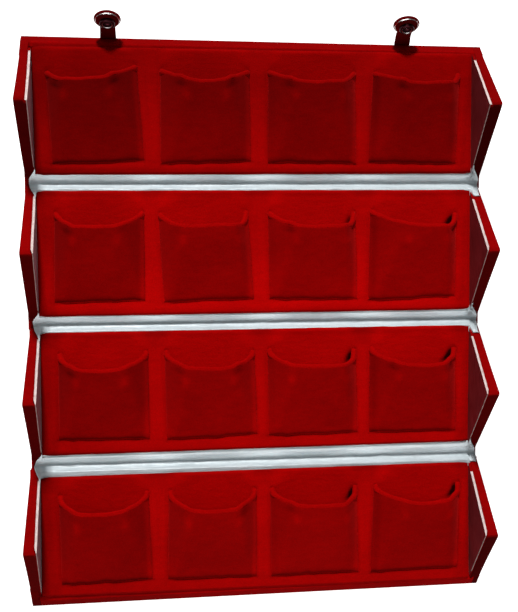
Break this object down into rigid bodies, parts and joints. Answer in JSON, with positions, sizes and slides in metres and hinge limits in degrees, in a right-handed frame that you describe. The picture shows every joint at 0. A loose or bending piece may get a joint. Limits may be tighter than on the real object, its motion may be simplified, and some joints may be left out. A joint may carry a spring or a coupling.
{
  "type": "earring organizer box",
  "caption": "Folding jewellery case: hinged padded panels with soft pockets open flat and close to a square box held by snap straps.",
  "frame": {"origin": "middle of the back face of the second panel, on the plane the open box lies on", "axes": "+X along the folds to the right, +Y towards the straps, +Z out of the pockets"},
  "size_m": [0.27, 0.3419, 0.0419],
  "materials": {
    "red_velvet": "velvet",
    "pad_velvet": "velvet",
    "pocket_velvet": "velvet",
    "strap_velvet": "velvet",
    "satin_lining": "satin",
    "core_board": "matte",
    "leatherette": "soft gloss",
    "snap_metal": "polished"
  },
  "bodies": {
    "panel_1": {"back_cover_1": "red_velvet", "back_board_1": "core_board", "insert_pad_1": "pad_velvet", "end_cap_left_1": "red_velvet", "end_lining_left_1": "satin_lining", "end_cap_right_1": "red_velvet", "end_lining_right_1": "satin_lining", "pocket_1_1": "pocket_velvet", "pocket_1_2": "pocket_velvet", "pocket_1_3": "pocket_velvet", "pocket_1_4": "pocket_velvet", "fold_strip_1_upper": "leatherette"},
    "panel_2": {"back_cover_2": "red_velvet", "back_board_2": "core_board", "insert_pad_2": "pad_velvet", "end_cap_left_2": "red_velvet", "end_lining_left_2": "satin_lining", "end_cap_right_2": "red_velvet", "end_lining_right_2": "satin_lining", "pocket_2_1": "pocket_velvet", "pocket_2_2": "pocket_velvet", "pocket_2_3": "pocket_velvet", "pocket_2_4": "pocket_velvet", "fold_strip_1_lower": "leatherette", "fold_strip_2_upper": "leatherette"},
    "panel_3": {"back_cover_3": "red_velvet", "back_board_3": "core_board", "insert_pad_3": "pad_velvet", "end_cap_left_3": "red_velvet", "end_lining_left_3": "satin_lining", "end_cap_right_3": "red_velvet", "end_lining_right_3": "satin_lining", "pocket_3_1": "pocket_velvet", "pocket_3_2": "pocket_velvet", "pocket_3_3": "pocket_velvet", "pocket_3_4": "pocket_velvet", "fold_strip_2_lower": "leatherette", "fold_strip_3_upper": "leatherette"},
    "panel_4": {"back_cover_4": "red_velvet", "back_board_4": "core_board", "insert_pad_4": "pad_velvet", "end_cap_left_4": "red_velvet", "end_lining_left_4": "satin_lining", "end_cap_right_4": "red_velvet", "end_lining_right_4": "satin_lining", "pocket_4_1": "pocket_velvet", "pocket_4_2": "pocket_velvet", "pocket_4_3": "pocket_velvet", "pocket_4_4": "pocket_velvet", "fold_strip_3_lower": "leatherette", "snap_stud_left": "snap_metal", "snap_stud_right": "snap_metal"},
    "strap_left": {"strap_left": "strap_velvet", "snap_socket_left": "snap_metal", "snap_cap_left": "strap_velvet"},
    "strap_right": {"strap_right": "strap_velvet", "snap_socket_right": "snap_metal", "snap_cap_right": "strap_velvet"}
  },
  "joints": [
    {"name": "fold_1", "type": "hinge", "parent": "panel_2", "child": "panel_1", "pos_m": [0, 0.0412, 0], "axis": [1, 0, 0], "range_deg": [0, 90]},
    {"name": "fold_2", "type": "hinge", "parent": "panel_2", "child": "panel_3", "pos_m": [0, -0.0412, 0], "axis": [-1, 0, 0], "range_deg": [0, 90]},
    {"name": "fold_3", "type": "hinge", "parent": "panel_3", "child": "panel_4", "pos_m": [0, -0.1236, 0], "axis": [-1, 0, 0], "range_deg": [0, 90]},
    {"name": "strap_flex_left", "type": "hinge", "parent": "panel_1", "child": "strap_left", "pos_m": [-0.087, 0.1244, 0.0005], "axis": [1, 0, 0], "range_deg": [-52, 21]},
    {"name": "strap_flex_right", "type": "hinge", "parent": "panel_1", "child": "strap_right", "pos_m": [0.087, 0.1244, 0.0005], "axis": [1, 0, 0], "range_deg": [-52, 21]}
  ]
}
